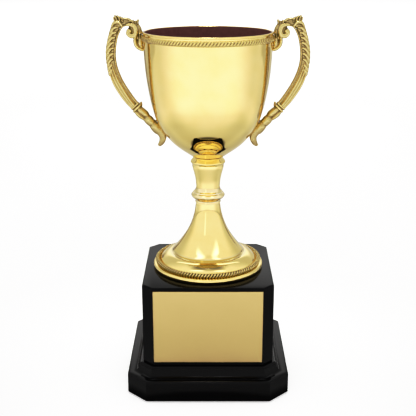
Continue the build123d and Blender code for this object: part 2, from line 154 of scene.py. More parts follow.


# %% [markdown]
# ## Mirror gold
# The cup, the stem and the foot are gold plated and polished. Polished metal has almost no
# look of its own: it shows the room. What makes it real is what is slightly wrong with it:
# the turning leaves a faint up-and-down wave, and the polish is cloudy in places.
# The foot also has painted shade in its groove, and a dark patch painted on the dome at the
# front and the back, a painted reflection of the stem that a real dome mirrors there.

# %% Gold finishes
GOLD = rgb(0.92, 0.735, 0.315)
GOLD_DEEP = rgb(0.86, 0.62, 0.20)
# A paler gold, painted on the knop for the paler reflections it shows.
GOLD_PAINTED_PALE_REFLECTION = rgb(0.88, 0.74, 0.42)
GOLD_PAINTED_GROOVE_SHADE = rgb(0.70, 0.58, 0.30)
GOLD_PAINTED_STEM_REFLECTION = rgb(0.34, 0.28, 0.12)


FOOT_GROOVE = (20.2, 23.0)  # radii of the groove, where shade is painted
PATCH_OUT = 25.1  # how far from the stem each dark patch lies
PATCH_HALF = (10.5, 2.2)  # half width and half depth of a patch


def foot_painted_shade_and_reflection(s, tone):
    """`tone` with painted shade in the foot's groove and two painted reflections of the stem on its dome."""
    low, high = FOOT_GROOVE
    half = (high - low) / 2 * MM
    flat = s.node("VectorMath", {"operation": "MULTIPLY"}, _0=here(s), _1=(1, 1, 0))
    off = s.node("VectorMath", {"operation": "LENGTH"}, out=1, _0=flat) - (low + high) / 2 * MM
    off = s.node("Math", {"operation": "ABSOLUTE"}, _0=off)
    # Painted shade in the groove: the gold there is darker.
    painted_groove_shade = s.node("MapRange", _0=off, _1=half * 0.5, _2=half, _3=0.0, _4=1.0)
    tone = painted_groove_shade.mix(GOLD_PAINTED_GROOVE_SHADE, tone)
    # Two dark patches, front and back: painted reflections of the stem on the dome.
    patch_scale = (1 / (PATCH_HALF[0] * MM), 1 / (PATCH_HALF[1] * MM), 0)
    both = s.node("VectorMath", {"operation": "ABSOLUTE"}, _0=flat)
    both = s.node("VectorMath", {"operation": "SUBTRACT"}, _0=both, _1=(0, PATCH_OUT * MM, 0))
    both = s.node("VectorMath", {"operation": "MULTIPLY"}, _0=both, _1=patch_scale)
    painted_stem_reflection = s.node("VectorMath", {"operation": "LENGTH"}, out=1, _0=both)
    return s.node("MapRange", _0=painted_stem_reflection, _1=0.6, _2=1.0, _3=0.0, _4=1.0).mix(GOLD_PAINTED_STEM_REFLECTION, tone)


def turned_gold(name, roughness, wave, colour=GOLD, is_foot=False):
    """Polished gold on a turned piece: clouds in the polish and very faint turning rings."""
    material, shader, s = new_finish(name)
    clouds = s.node("TexNoise", Vector=here(s), Scale=90, Detail=3)
    rings = s.node("TexNoise", Vector=here(s, (0.02, 0.02, 1)), Scale=2600, Detail=1)
    tint = clouds.node("MapRange", _0=clouds, _1=0.35, _2=0.7, _3=0.0, _4=0.35)
    tone = tint.mix(colour, GOLD_DEEP)
    if is_foot:
        tone = foot_painted_shade_and_reflection(s, tone)
    bump = s.node("Bump", Strength=wave, Distance=0.0002, Height=rings * 0.4 + clouds)
    connect(
        shader,
        Base_Color=tone,
        Metallic=1.0,
        Roughness=clouds * (2 * roughness),
        Normal=bump,
    )
    return material


def cast_gold_painted_shade(name, depth):
    """Plated casting: painted shade darkens the hollows and the deep relief, raised edges stay bright, and
    the polish is smoother where the wheel reaches.

    `depth` gives the heights (mm from the middle plane) where the painted shade of the hollows turns to
    face.
    """
    material, shader, s = new_finish(name)
    # Painted shade: curvature and depth from the middle plane make the hollows darker.
    edges = s.node("NewGeometry", out=7)
    high = s.node("MapRange", _0=edges, _1=0.47, _2=0.53, _3=0.0, _4=1.0)
    off = s.node("SeparateXYZ", out=1, Vector=here(s))
    off = s.node("Math", {"operation": "ABSOLUTE"}, _0=off)
    face = s.node("MapRange", _0=off, _1=depth[0] * MM, _2=depth[1] * MM, _3=0.0, _4=1.0)
    high = high * 0.45 + face * 0.55
    grain = s.node("TexNoise", Vector=here(s), Scale=900, Detail=4)
    bump = s.node("Bump", Strength=0.12, Distance=0.0002, Height=grain)
    tone = s.node("ValToRGB", {"stops": (
        (0.0, (0.22, 0.17, 0.075)), (0.4, (0.42, 0.335, 0.155)),
        (0.78, (0.60, 0.485, 0.225)), (1.0, (0.92, 0.76, 0.35)),
    )}, Fac=high)
    connect(
        shader,
        Base_Color=tone,
        Metallic=1.0,
        Roughness=0.30 - high * 0.14 + grain * 0.05,
        Normal=bump,
    )
    return material


cup_gold = turned_gold("cup_gold", 0.05, 0.02)
stem_gold = turned_gold("stem_gold", 0.05, 0.02)
# The knop's gold is painted paler, for its paler reflections.
knop_gold = turned_gold("knop_gold", 0.06, 0.02, GOLD_PAINTED_PALE_REFLECTION)
foot_gold = turned_gold("foot_gold", 0.06, 0.03, is_foot=True)
handle_gold = cast_gold_painted_shade("handle_gold", (1.0, 3.4))
print("gold finishes", [m.name for m in (cup_gold, stem_gold, knop_gold, foot_gold, handle_gold)])


# %% [markdown]
# ## Other finishes
# Inside the cup is a dull dark red lacquer. The plinth is black plastic that was moulded in
# a polished tool. The name plate is anodised, with the fine grain of the rolling mill.

# %% Lacquer, plastic, plate and small parts
def lacquer():
    material, shader, s = new_finish("red_lacquer")
    mottle = s.node("TexNoise", Vector=here(s), Scale=420, Detail=5, Roughness=0.7)
    bump = s.node("Bump", Strength=0.25, Distance=0.0002, Height=mottle)
    connect(
        shader,
        Base_Color=mottle.mix(rgb(0.070, 0.021, 0.018), rgb(0.205, 0.076, 0.068)),
        Roughness=0.35 + mottle * 0.3,
        Normal=bump,
    )
    return material


def gloss_black(name, level):
    material, shader, s = new_finish(name)
    haze = s.node("TexNoise", Vector=here(s), Scale=45, Detail=4)
    skin = s.node("TexNoise", Vector=here(s), Scale=260, Detail=2)
    bump = s.node("Bump", Strength=0.03, Distance=0.0003, Height=skin)
    connect(
        shader,
        Base_Color=haze.mix(rgb(0.0010, 0.0010, 0.0012), rgb(0.003, 0.003, 0.0034)),
        Roughness=0.05 + haze * 0.10,
        Specular_IOR_Level=level,
        Normal=bump,
    )
    return material


def anodised_plate():
    material, shader, s = new_finish("anodised_plate")
    grain = s.node("TexNoise", Vector=here(s, (0.015, 1, 1)), Scale=5200, Detail=2)
    clouds = s.node("TexNoise", Vector=here(s), Scale=60, Detail=2)
    bump = s.node("Bump", Strength=0.10, Distance=0.0001, Height=grain)
    connect(
        shader,
        Base_Color=clouds.mix(rgb(0.63, 0.475, 0.215), rgb(0.67, 0.50, 0.23)),
        Metallic=1.0,
        Roughness=0.28 + grain * 0.12,
        Normal=bump,
    )
    return material


def grainy(name, dark, light, scale, roughness, metallic=0.0, bump=0.2):
    """A plain speckled finish for what is mostly hidden."""
    material, shader, s = new_finish(name)
    speck = s.node("TexNoise", Vector=here(s), Scale=scale, Detail=4)
    relief = s.node("Bump", Strength=bump, Distance=0.0003, Height=speck)
    connect(
        shader,
        Base_Color=speck.mix(dark, light),
        Metallic=metallic,
        Roughness=roughness,
        Normal=relief,
    )
    return material


lining_red = lacquer()
block_black = gloss_black("block_black", 0.09)
base_black = gloss_black("base_black", 0.16)
plate_gold = anodised_plate()
zinc = grainy("zinc_plate", rgb(0.50, 0.50, 0.52), rgb(0.68, 0.68, 0.70), 700, 0.28, 1.0)
iron = grainy("cast_iron", rgb(0.04, 0.04, 0.045), rgb(0.11, 0.11, 0.12), 500, 0.6, 1.0, 0.6)
board = grainy("fibre_board", rgb(0.10, 0.07, 0.05), rgb(0.20, 0.15, 0.10), 900, 0.8)
felt = grainy("green_felt", rgb(0.006, 0.020, 0.012), rgb(0.020, 0.045, 0.028), 1600, 0.95, 0.0, 0.9)
foam = grainy("foam_tape", rgb(0.55, 0.55, 0.52), rgb(0.75, 0.75, 0.72), 1200, 0.8)

KEPT = {
    "name_plate": plate_gold,
    "handle_screws": zinc,
    "handle_washers": zinc,
    "cup_washer": zinc,
    "cup_nut": zinc,
    "tie_rod": zinc,
    "base_screws": zinc,
    "clamp_washer": zinc,
    "lock_washer": zinc,
    "rod_nut": zinc,
    "ballast_disc": iron,
    "base_board": board,
    "felt_pad": felt,
    "plate_tape": foam,
}
for node, finish in KEPT.items():
    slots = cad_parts[node].material_slots
    for slot in slots:
        slot.material = finish
    print(node, "keeps its CAD shape and gets", finish.name)


# %% From bmesh to piece
def finish_piece(name, bm, material, replaces, corner=35):
    """Makes an object of a bmesh, shades it, and says what it is to the frame."""
    bmesh.ops.remove_doubles(bm, verts=bm.verts, dist=1e-6)
    bmesh.ops.recalc_face_normals(bm, faces=bm.faces)
    mesh = bpy.data.meshes.new(name)
    bm.to_mesh(mesh)
    bm.free()
    mesh.shade_smooth()
    mesh.set_sharp_from_angle(angle=radians(corner))
    piece = bpy.data.objects.new(name, mesh)
    bpy.context.scene.collection.objects.link(piece)
    mesh.materials.append(material)
    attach(piece, "root")
    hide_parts(replaces)
    print(f"{name}: {len(mesh.polygons)} faces")
    return piece


def smooth_run(points, steps=8):
    """Points on a smooth line (Catmull-Rom) through the points given."""
    first = points[0] * 2 - points[1]
    last = points[-1] * 2 - points[-2]
    line = [first, *points, last]
    run = [points[0]]
    for a, b, c, d in zip(line, line[1:], line[2:], line[3:]):
        for step in range(1, steps + 1):
            t = step / steps
            run.append(
                0.5 * (2 * b + (c - a) * t + (2 * a - 5 * b + 4 * c - d) * t**2
                       + (3 * b - a - 3 * c + d) * t**3)
            )
    return run


def outline(bm, runs):
    """A closed loop of edges through runs of (radius, height) points, each run smooth."""
    spots = []
    for run in runs:
        flat = [mm(x, 0, z) for x, z in run]
        spots += smooth_run(flat) if len(flat) > 2 else flat
    verts = [bm.verts.new(spot) for spot in spots]
    for pair in zip(verts, verts[1:] + verts[:1]):
        bm.edges.new(pair)


def turned(name, runs, material, replaces, steps=180):
    """A closed profile spun once round the stem."""
    bm = bmesh.new()
    outline(bm, runs)
    bmesh.ops.remove_doubles(bm, verts=bm.verts, dist=1e-6)
    bmesh.ops.spin(
        bm, geom=bm.verts[:] + bm.edges[:], cent=(0, 0, 0), axis=(0, 0, 1),
        angle=2 * pi, steps=steps, use_merge=True, dvec=(0, 0, 0),
    )
    return finish_piece(name, bm, material, replaces)


# %% [markdown]
# ## The cup
# A real one is spun from a flat disc of sheet over a former, so its wall is the same
# thickness all the way and its edge is rolled outwards. Spinning a profile in bmesh is the
# same job: the outside, the rolled lip and the inside are drawn once and swept round.

# %% Cup and lining
ROD_HOLE = 3.25
SHEET, LINING = 0.8, 0.4
cup_low, cup_high = node_heights("cup")
LIP = 0.62  # radius of the rolled lip
LIP_DROP = 0.5  # how far the lip's crest is below the CAD's
LINING_RISE = 0.4  # how far the lining goes up past the lip's centre
lip_centre = (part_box("cup")[1].x / MM - LIP, cup_high - LIP_DROP - LIP)
CUP_OUTSIDE = [
    (36.0, 198.0), (35.95, 195.5), (35.9, 192.5), (35.6, 187.5), (35.15, 182.5),
    (34.3, 176.0), (33.1, 169.0), (31.6, 162.2), (29.5, 155.4), (26.2, 149.3),
    (21.2, 143.0), (16.6, 139.0), (12.2, 135.9), (9.6, 134.2), (7.0, 133.4),
]


def inwards(line, distance):
    """A line of (radius, height) points moved inwards by `distance`."""
    moved = []
    for i, (x, z) in enumerate(line):
        ahead, behind = line[min(i + 1, len(line) - 1)], line[max(i - 1, 0)]
        along = Vector((ahead[0] - behind[0], ahead[1] - behind[1])).normalized()
        if i == 0:
            along = Vector((0, -1))
        if i == len(line) - 1:
            along = Vector((-1, 0))
        moved.append((x + along.y * distance, z - along.x * distance))
    return moved


def arc(centre, radius, start, end, steps):
    """Points on an arc in the profile plane, angles in degrees from outwards."""
    turn = [radians(start + (end - start) * i / steps) for i in range(steps + 1)]
    return [(centre[0] + radius * cos(a), centre[1] + radius * sin(a)) for a in turn]


inside = inwards(CUP_OUTSIDE, SHEET)
turned(
    "cup",
    [
        CUP_OUTSIDE,
        [(ROD_HOLE, cup_low)],
        [(ROD_HOLE, cup_low + SHEET)],
        inside[::-1],
        [(inside[0][0], lip_centre[1] - 0.4)],
        arc(lip_centre, LIP, 185, -60, 14),
        [(36.0, 202.4)],
    ],
    cup_gold, "cup",
)
lining_low = node_heights("cup_lining")[0]
lining_top = lip_centre[1] + LINING_RISE
turned(
    "cup_lining",
    [
        inwards(CUP_OUTSIDE, SHEET + 0.02),
        [(CUP_OUTSIDE[-1][0], lining_low + LINING)],
        inwards(CUP_OUTSIDE, SHEET + LINING)[::-1],
        [(inside[0][0] - LINING, lining_top - 0.15)],
        [(inside[0][0] - 0.2, lining_top)],
        [(inside[0][0] - 0.02, lining_top)],
    ],
    lining_red, "cup_lining",
)


# %% [markdown]
# ## Rope borders
# The border under the lip is rolled wire with slanting strands. One strand is a small
# stretched ball, leaned over and repeated round the ring, on a plain core that closes the
# gaps. The same function makes the ring on the foot.

# %% Rope rings
def rope_gold_painted_shade(name, radius, height, section, deep):
    """Gold with painted shade that turns to `deep` in the grooves; `section` is the rope's half depth and
    height.
    """
    material, shader, s = new_finish(name)
    spot = here(s)
    flat = s.node("VectorMath", {"operation": "MULTIPLY"}, _0=spot, _1=(1, 1, 0))
    out = s.node("VectorMath", {"operation": "LENGTH"}, out=1, _0=flat) - radius * MM
    rise = s.node("SeparateXYZ", out=2, Vector=spot) - height * MM
    out, rise = out * (1 / (section[0] * MM)), rise * (1 / (section[1] * MM))
    height_of_relief = s.node("Math", {"operation": "SQRT"}, _0=out * out + rise * rise)
    # Painted shade: the gold darkens toward the rope's core, in the grooves between strands.
    high = s.node("MapRange", _0=height_of_relief, _1=0.74, _2=1.0, _3=0.0, _4=1.0)
    grain = s.node("TexNoise", Vector=spot, Scale=1500, Detail=3)
    tone = s.node("ValToRGB", {"stops": (
        (0.0, deep), (0.4, (0.56, 0.44, 0.18)), (1.0, (0.88, 0.72, 0.32)),
    )}, Fac=high)
    bump = s.node("Bump", Strength=0.1, Distance=0.0001, Height=grain)
    connect(shader, Base_Color=tone, Metallic=1.0, Roughness=0.22 + grain * 0.1, Normal=bump)
    return material


def rope_ring(name, radius, height, count, strand, lean, core, deep, replaces):
    """Strands leaned by `lean` degrees round a ring; sizes in millimetres.

    `strand` is (length, width, depth, half height of the ring); `core` the plain ring inside.
    """
    finish = rope_gold_painted_shade(name + "_gold", radius, height, (strand[2], strand[3]), deep)
    bm = bmesh.new()
    length, width, depth, _ = strand
    for i in range(count):
        ball = bmesh.ops.create_icosphere(bm, subdivisions=2, radius=1.0)["verts"]
        place = (
            Matrix.Rotation(2 * pi * i / count, 4, "Z")
            @ Matrix.Translation(mm(radius, 0, height))
            @ Matrix.Rotation(radians(-lean), 4, "X")
            @ Matrix.Diagonal((depth * MM, width * MM, length * MM, 1))
        )
        bmesh.ops.transform(bm, matrix=place, verts=ball)
    ring = bmesh.new()
    outline(ring, [arc((radius, height), 1.0, 0, 345, 23)])
    bmesh.ops.transform(
        ring, verts=ring.verts,
        matrix=Matrix.Translation(mm(radius, 0, height))
        @ Matrix.Diagonal((core[0], 1, core[1], 1))
        @ Matrix.Translation(-mm(radius, 0, height)),
    )
    bmesh.ops.spin(
        ring, geom=ring.verts[:] + ring.edges[:], cent=(0, 0, 0), axis=(0, 0, 1),
        angle=2 * pi, steps=144, use_merge=True, dvec=(0, 0, 0),
    )
    core_mesh = bpy.data.meshes.new(name + "_core")
    ring.to_mesh(core_mesh)
    ring.free()
    bm.from_mesh(core_mesh)
    bpy.data.meshes.remove(core_mesh)
    return finish_piece(name, bm, finish, replaces, 60)


RIM_RADIUS = 36.05
RIM_STRAND = (1.95, 0.76, 1.06, 1.62)
FOOT_STRAND = (1.72, 0.68, 1.46, 1.44)
rope_low, rope_high = node_heights("rim_rope")
# The last colour in each call is the painted shade in that rope's grooves.
rope_ring(
    "rim_rope", RIM_RADIUS, (rope_low + rope_high) / 2, 128, RIM_STRAND, 42,
    (0.80, 1.5), (0.19, 0.14, 0.045), "rim_rope",
)
ring_low, ring_high = node_heights("foot_rope")
ring_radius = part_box("foot_rope")[1].x / MM - (ring_high - ring_low) / 2
rope_ring(
    "foot_rope", ring_radius, (ring_low + ring_high) / 2, 112, FOOT_STRAND, 40,
    (1.0, 1.0), (0.09, 0.065, 0.02), "foot_rope",
)

# %% [markdown]
# ## Stem and foot
# The collar, the tapered sleeve and the knop are turned pieces on one rod, so each is its
# own spun profile. The foot is spun sheet: a trumpet, a small step, a dome with a seat for
# the rope ring, and a bead that stands on the plinth.

# %% Collar, sleeve and knop
collar_low, collar_high = node_heights("stem_collar")
sleeve_low, sleeve_high = node_heights("stem_sleeve")
knop_low, knop_high = node_heights("stem_knop")
foot_low, foot_high = node_heights("foot")
turned(
    "stem_collar",
    [
        [(ROD_HOLE, collar_low)],
        [(9.4, collar_low), (9.85, 130.0), (10.1, 130.55), (9.95, 131.1), (9.1, 132.2), (8.2, collar_high)],
        [(ROD_HOLE, collar_high)],
    ],
    stem_gold, "stem_collar",
)
turned(
    "stem_sleeve",
    [
        [(ROD_HOLE, sleeve_low)],
        [(6.95, sleeve_low), (7.35, 119.8), (8.1, 123.4), (9.1, 127.2), (9.3, sleeve_high)],
        [(ROD_HOLE, sleeve_high)],
    ],
    stem_gold, "stem_sleeve",
)
turned(
    "stem_knop",
    [
        [(ROD_HOLE, knop_high)],
        [(7.05, knop_high), (7.25, 114.5), (7.7, 113.5), (8.5, 112.8)],
        [(8.5, 112.3), (9.3, 111.7), (9.9, 110.6), (9.3, 109.4), (8.5, 108.7)],
        [(7.9, 108.5), (7.35, 107.6), (7.6, knop_low)],
        [(ROD_HOLE, knop_low)],
    ],
    knop_gold, "stem_knop",
)

# %% Foot
TRUMPET = [
    (7.25, foot_high), (7.25, 105.2), (7.76, 101.5), (8.6, 97.75), (9.8, 94.0),
    (11.4, 90.3), (13.6, 86.5), (16.2, 82.7), (18.4, 79.9), (20.4, 77.7), (20.95, 76.95),
]
turned(
    "foot",
    [
        TRUMPET,
        [
            (20.6, 76.25), (21.6, 75.75), (23.0, 75.65), (24.6, 75.15), (26.2, 74.15),
            (27.6, 72.9), (28.5, 71.6),
        ],
        [(28.5, 69.8)],
        [(30.9, 69.8), (32.2, 69.3), (32.6, 68.2), (32.4, 67.2), (31.9, foot_low)],
        [(30.9, foot_low)],
        [(27.6, 70.6), (26.2, 74.0), (21.6, 74.9)],
        [(17.5, 79.0), (12.5, 86.4), (8.9, 94.0), (6.9, 101.5), (6.4, 105.0)],
        [(ROD_HOLE, 105.2)],
        [(ROD_HOLE, foot_high)],
    ],
    foot_gold, "foot",
)


# %% [markdown]
# ## Plinth
# Block and base are corner-cut squares. Both start as a cube: bevelling its four upright
# edges cuts the corners, and insetting and lifting the top face steps the moulding in.

# %% Block and base
def corner_cut_block(half, corner, low, high):
    """A square block with cut corners, in a new bmesh; sizes in millimetres."""
    bm = bmesh.new()
    bmesh.ops.create_cube(bm, size=1.0)
    place = Matrix.Translation(mm(0, 0, (low + high) / 2)) @ Matrix.Diagonal(
        (2 * half * MM, 2 * half * MM, (high - low) * MM, 1)
    )
    bmesh.ops.transform(bm, matrix=place, verts=bm.verts)
    upright = [e for e in bm.edges if abs(e.verts[0].co.z - e.verts[1].co.z) > MM]
    bmesh.ops.bevel(
        bm, geom=upright, offset=corner * MM, offset_type="OFFSET", affect="EDGES",
        segments=1, profile=0.5, material=-1,
    )
    return bm


def top_face(bm):
    """The face that looks up from the highest place."""
    return max(bm.faces, key=lambda f: (f.normal.z > 0.9, f.calc_center_median().z))


def step_in(bm, width, rise):
    """Draws the top face in by `width` and up by `rise`, in millimetres."""
    face = top_face(bm)
    bmesh.ops.inset_region(bm, faces=[face], thickness=width * MM, use_even_offset=True)
    bmesh.ops.translate(bm, verts=face.verts, vec=mm(0, 0, rise))


BLOCK_CORNER = 6.0
block_low, block_high = node_heights("plinth_block")
block_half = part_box("plinth_block")[1].x / MM
bm = corner_cut_block(block_half, BLOCK_CORNER, block_low, block_high - 1.0)
for turn in range(5):
    a, b = radians(18 * turn), radians(18 * (turn + 1))
    step_in(bm, cos(a) - cos(b), sin(b) - sin(a))
finish_piece("plinth_block", bm, block_black, "plinth_block", 25)

base_low, base_high = node_heights("base_moulding")
base_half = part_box("base_moulding")[1].x / MM
base_corner = BLOCK_CORNER + (base_half - block_half) * (2 - sqrt(2))
bm = corner_cut_block(base_half, base_corner, base_low, 12.2)
SHOULDER = smooth_run([mm(x, 0, z) for x, z in [
    (46.6, 12.2), (46.35, 12.75), (45.7, 13.15), (44.5, 13.3), (43.2, 13.35),
]], 4)
COVE = smooth_run([mm(x, 0, z) for x, z in [
    (43.2, 13.35), (42.3, 13.5), (41.4, 14.0), (40.4, 15.2), (39.7, 16.4), (39.4, 17.4),
]], 4)
RIM = [mm(x, 0, z) for x, z in [(39.4, 17.4), (39.4, 17.8), (38.6, base_high)]]
for run in (SHOULDER, COVE, RIM):
    for a, b in zip(run, run[1:]):
        step_in(bm, max((a.x - b.x) / MM, 0.0005), (b.z - a.z) / MM)
finish_piece("base_moulding", bm, base_black, "base_moulding", 25)

# %% [markdown]
# ## Handles
# The real handles are castings: one piece of metal with leaves, a scroll and flutes raised
# on it, the same on the front and on the back. A sculptor would model one in wax from rolls
# and pellets pressed together, and that way works here too. Each roll is a row of rings
# bridged into a tapering bar; a voxel remesh then melts all the rolls into one skin.

# %% Rolls of wax
ROLL_SIDES = 14


def roll(bm, line, widths, depths, flat=1.0, steps=6):
    """A tapering roll on a smooth line of (x, y, z); widths lie in the handle's plane.

    `widths` and `depths` are given at even places on the line. `flat` below 1 squares it.
    """
    spots = smooth_run([mm(*spot) for spot in line], steps) if len(line) > 2 else [mm(*s) for s in line]
    rings = []
    for i, spot in enumerate(spots):
        along = (spots[min(i + 1, len(spots) - 1)] - spots[max(i - 1, 0)]).normalized()
        across = along.cross(Vector((0, 1, 0))).normalized()
        place = i / (len(spots) - 1)
        half = between(widths, place) / 2 * MM
        deep = between(depths, place) / 2 * MM
        ring = bmesh.ops.create_circle(bm, segments=ROLL_SIDES, radius=1.0)["verts"]
        for vert in ring:
            for axis in (0, 1):
                vert.co[axis] = abs(vert.co[axis]) ** flat * (1 if vert.co[axis] > 0 else -1)
        frame_of_ring = Matrix((across, across.cross(along), along)).transposed().to_4x4()
        bmesh.ops.transform(
            bm, verts=ring,
            matrix=Matrix.Translation(spot) @ frame_of_ring @ Matrix.Diagonal((half, deep, 1, 1)),
        )
        rings.append(list({edge for vert in ring for edge in vert.link_edges}))
    for one, two in zip(rings, rings[1:]):
        bmesh.ops.bridge_loops(bm, edges=one + two)
    bmesh.ops.holes_fill(bm, edges=rings[0] + rings[-1])


def between(values, place):
    """The value at `place` (0 to 1) in an evenly spaced list."""
    spot = place * (len(values) - 1)
    i = min(int(spot), len(values) - 2)
    return values[i] + (values[i + 1] - values[i]) * (spot - i)


def pellet(bm, centre, radii):
    """A stretched ball."""
    ball = bmesh.ops.create_icosphere(bm, subdivisions=3, radius=1.0)["verts"]
    size = Matrix.Diagonal((*mm(*radii), 1))
    bmesh.ops.transform(bm, verts=ball, matrix=Matrix.Translation(mm(*centre)) @ size)


# %% [markdown]
# The right handle is drawn in its own plane. What runs through its whole thickness is laid
# down once at y = 0. What is raised on the front is laid at some depth and mirrored to the
# back, as both halves of a casting mould would be.

# %% Through the whole thickness
def handle_core(bm):
    """The bars and webs that carry the ornament."""
    upper_arm = [
        (41.0, 0, 207.4), (44.8, 0, 209.3), (48.6, 0, 209.1), (51.7, 0, 205.2),
        (53.9, 0, 197.0), (54.6, 0, 190.8), (53.8, 0, 184.2),
    ]
    lower_arm = [
        (53.8, 0, 184.2), (51.3, 0, 177.5), (48.3, 0, 172.0), (44.6, 0, 166.2),
        (41.2, 0, 161.6),
    ]
    roll(bm, upper_arm, (3.0, 3.8, 4.6, 4.8, 4.9, 5.0, 5.0), (2.2, 2.2, 2.6, 3.2, 3.4, 3.4, 3.8), 0.6)
    roll(bm, lower_arm, (5.0, 5.2, 5.2, 4.9, 3.8), (3.8, 4.2, 4.2, 4.2, 4.2), 0.6)
    roll(bm, [(47.0, 0, 209.4), (49.6, 0, 211.2), (51.4, 0, 213.1)], (5.2, 3.2, 0.6), (2.0, 1.6, 0.8))
    roll(bm, [(39.2, 0, 207.6), (39.7, 0, 209.2), (39.9, 0, 210.2)], (3.0, 2.6, 2.0), (1.8, 1.6, 1.2))
    pellet(bm, (41.7, 0, 204.6), (2.8, 1.7, 3.0))
    pellet(bm, (43.2, 0, 204.5), (1.75, 2.9, 1.7))
    pellet(bm, (38.5, 0, 199.4), (2.6, 1.2, 4.2))
    pellet(bm, (37.5, 0, 198.3), (1.95, 2.5, 3.2))
    pellet(bm, (36.95, 0, 196.2), (1.4, 2.3, 1.9))
    roll(bm, [(39.8, 0, 208.6), (38.4, 0, 205.9), (37.5, 0, 202.8)], (2.6, 3.4, 3.2), (2.6, 3.2, 2.4))


# %% The lower bulbs and the curled tail
def handle_foot(bm):
    """Bud, bulbs, leaf and tail below the collar; all round, so laid down once."""
    roll(
        bm,
        [(40.0, 0, 161.5), (37.9, 0, 160.1), (35.5, 0, 158.1), (34.0, 0, 156.6)],
        (3.0, 4.3, 4.2, 2.8), (4.4, 6.4, 6.2, 4.4),
    )
    roll(
        bm,
        [(41.4, 0, 159.9), (39.7, 0, 158.2), (38.0, 0, 156.6), (36.4, 0, 155.3)],
        (2.0, 3.0, 2.8, 2.0), (3.8, 5.4, 5.2, 4.0),
    )
    roll(
        bm,
        [(35.4, 0, 156.4), (33.9, 0, 154.9), (32.2, 0, 153.1), (31.0, 0, 151.9)],
        (4.6, 5.6, 5.2, 4.4), (4.2, 6.2, 5.6, 4.0),
    )
    roll(
        bm,
        [(31.8, 0, 152.8), (30.6, 0, 151.2), (29.2, 0, 149.4), (28.0, 0, 147.8)],
        (4.6, 5.6, 5.6, 4.8), (4.2, 5.4, 4.8, 4.0),
    )
    roll(
        bm,
        [
            (29.2, 0, 149.6), (27.0, 0, 147.4), (25.9, 0, 145.1), (26.2, 0, 142.8),
            (27.3, 0, 140.9), (28.6, 0, 139.8),
        ],
        (4.6, 4.8, 4.4, 3.8, 2.9, 1.5), (4.0, 3.8, 3.4, 3.0, 2.2, 1.2), 0.8,
    )
    roll(bm, [(29.6, 0, 152.4), (28.0, 0, 149.6), (26.0, 0, 146.8)], (2.6, 3.2, 3.0), (3.8, 4.0, 3.8), 0.8)
    roll(bm, [(31.6, 0, 153.3), (30.2, 0, 154.0), (29.3, 0, 154.3)], (2.4, 1.5, 0.7), (3.4, 2.2, 1.2))
    roll(bm, [(40.2, 0, 162.0), (38.5, 0, 163.1), (37.7, 0, 165.2)], (3.6, 3.0, 0.9), (4.0, 3.4, 1.2))


# %% Raised on the front, and mirrored to the back
LEAVES = [
    [(47.2, 207.2), (48.9, 209.2), (51.6, 208.9), (53.4, 206.2)],
    [(49.4, 206.6), (51.4, 206.3), (53.2, 204.6), (54.6, 202.0)],
    [(50.5, 203.9), (52.5, 203.4), (54.3, 201.6), (55.5, 198.8)],
    [(51.2, 201.2), (53.2, 200.6), (55.0, 198.6), (56.2, 195.7)],
    [(51.7, 198.4), (53.7, 197.7), (55.5, 195.5), (56.6, 192.6)],
    [(52.1, 195.5), (54.0, 194.7), (55.7, 192.4), (56.6, 189.6)],
    [(52.4, 192.5), (54.2, 191.6), (55.7, 189.4), (56.4, 186.8)],
    [(52.8, 189.5), (54.3, 188.5), (55.5, 186.4), (56.0, 184.2)],
    [(53.2, 186.4), (54.4, 185.3), (55.3, 183.5), (55.5, 181.7)],
    [(53.6, 183.6), (54.4, 182.5), (54.9, 181.0), (54.7, 179.7)],
]
PETALS = [
    [(47.0, 209.3), (47.3, 211.2), (48.3, 212.3)],
    [(48.5, 209.2), (48.8, 211.5), (49.9, 212.9)],
    [(49.9, 209.2), (50.4, 211.5), (51.5, 213.1)],
    [(51.2, 209.0), (51.5, 210.6), (52.0, 212.2)],
]


def raised(bm, line, width, face=2.3, edge=None, depth=None, root=1.0):
    """A roll standing on the front face; its far end sinks to `edge`, `root` widens its start."""
    last = edge if edge is not None else face
    count = len(line)
    places = [
        (x, -(face + (last - face) * (i / (count - 1)) ** 2), z)
        for i, (x, z) in enumerate(line)
    ]
    deep = depth or width
    widths = (width * root * 0.8, width * root, width * 1.05, width * 0.5)
    roll(bm, places, widths, (deep * 0.6, deep, deep, deep * 0.7))


